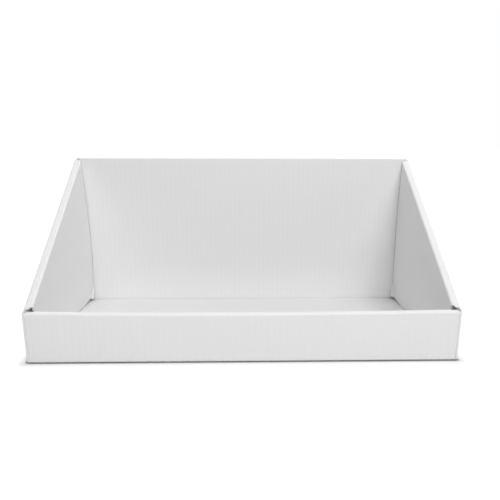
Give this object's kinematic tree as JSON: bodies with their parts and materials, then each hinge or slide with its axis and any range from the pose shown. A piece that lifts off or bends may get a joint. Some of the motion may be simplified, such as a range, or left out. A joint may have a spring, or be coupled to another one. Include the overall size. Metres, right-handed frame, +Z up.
{
  "type": "counter display tray",
  "caption": "White corrugated cardboard counter display tray: low double front, slanted double sides and a high back, folded from one blank and open at the top.",
  "frame": {"origin": "under the middle of the base, on the surface that the tray stands on", "axes": "+X along the width to the right as a customer sees it, +Y from the low front wall to the high back wall, +Z up"},
  "size_m": [0.43, 0.19, 0.192],
  "materials": {
    "board_base": "matt clay-coated white liner",
    "board_back": "matt clay-coated white liner",
    "board_front": "matt clay-coated white liner",
    "board_side": "matt clay-coated white liner"
  },
  "bodies": {
    "base": {"base_panel": "board_base", "left_outer_panel": "board_side", "left_top_strip": "board_side", "right_outer_panel": "board_side", "right_top_strip": "board_side"},
    "back_wall": {"back_panel": "board_back", "left_back_flap": "board_back", "right_back_flap": "board_back"},
    "front_wall": {"front_outer_panel": "board_front", "front_top_strip": "board_front", "left_front_flap": "board_front", "right_front_flap": "board_front"},
    "front_inner": {"front_inner_panel": "board_front", "front_lock_tabs": "board_front"},
    "left_inner": {"left_inner_panel": "board_side", "left_lock_tabs": "board_side"},
    "right_inner": {"right_inner_panel": "board_side", "right_lock_tabs": "board_side"}
  },
  "joints": [
    {"name": "back_fold", "type": "hinge", "parent": "base", "child": "back_wall", "pos_m": [0, 0.0937, 0.0013], "axis": [-1, 0, 0], "range_deg": [0, 90]},
    {"name": "front_fold", "type": "hinge", "parent": "base", "child": "front_wall", "pos_m": [0, -0.0937, 0.0013], "axis": [1, 0, 0], "range_deg": [0, 90]},
    {"name": "front_inner_fold", "type": "hinge", "parent": "front_wall", "child": "front_inner", "pos_m": [0, -0.0881, 0.0497], "axis": [1, 0, 0], "range_deg": [0, 90], "deforming": ["front_lock_tabs"]},
    {"name": "left_inner_fold", "type": "hinge", "parent": "base", "child": "left_inner", "pos_m": [-0.2081, -0.095, 0.04938], "axis": [0, -0.803, -0.5959], "range_deg": [0, 90], "deforming": ["left_lock_tabs"]},
    {"name": "right_inner_fold", "type": "hinge", "parent": "base", "child": "right_inner", "pos_m": [0.2081, -0.095, 0.04938], "axis": [0, 0.803, 0.5959], "range_deg": [0, 90], "deforming": ["right_lock_tabs"]}
  ]
}
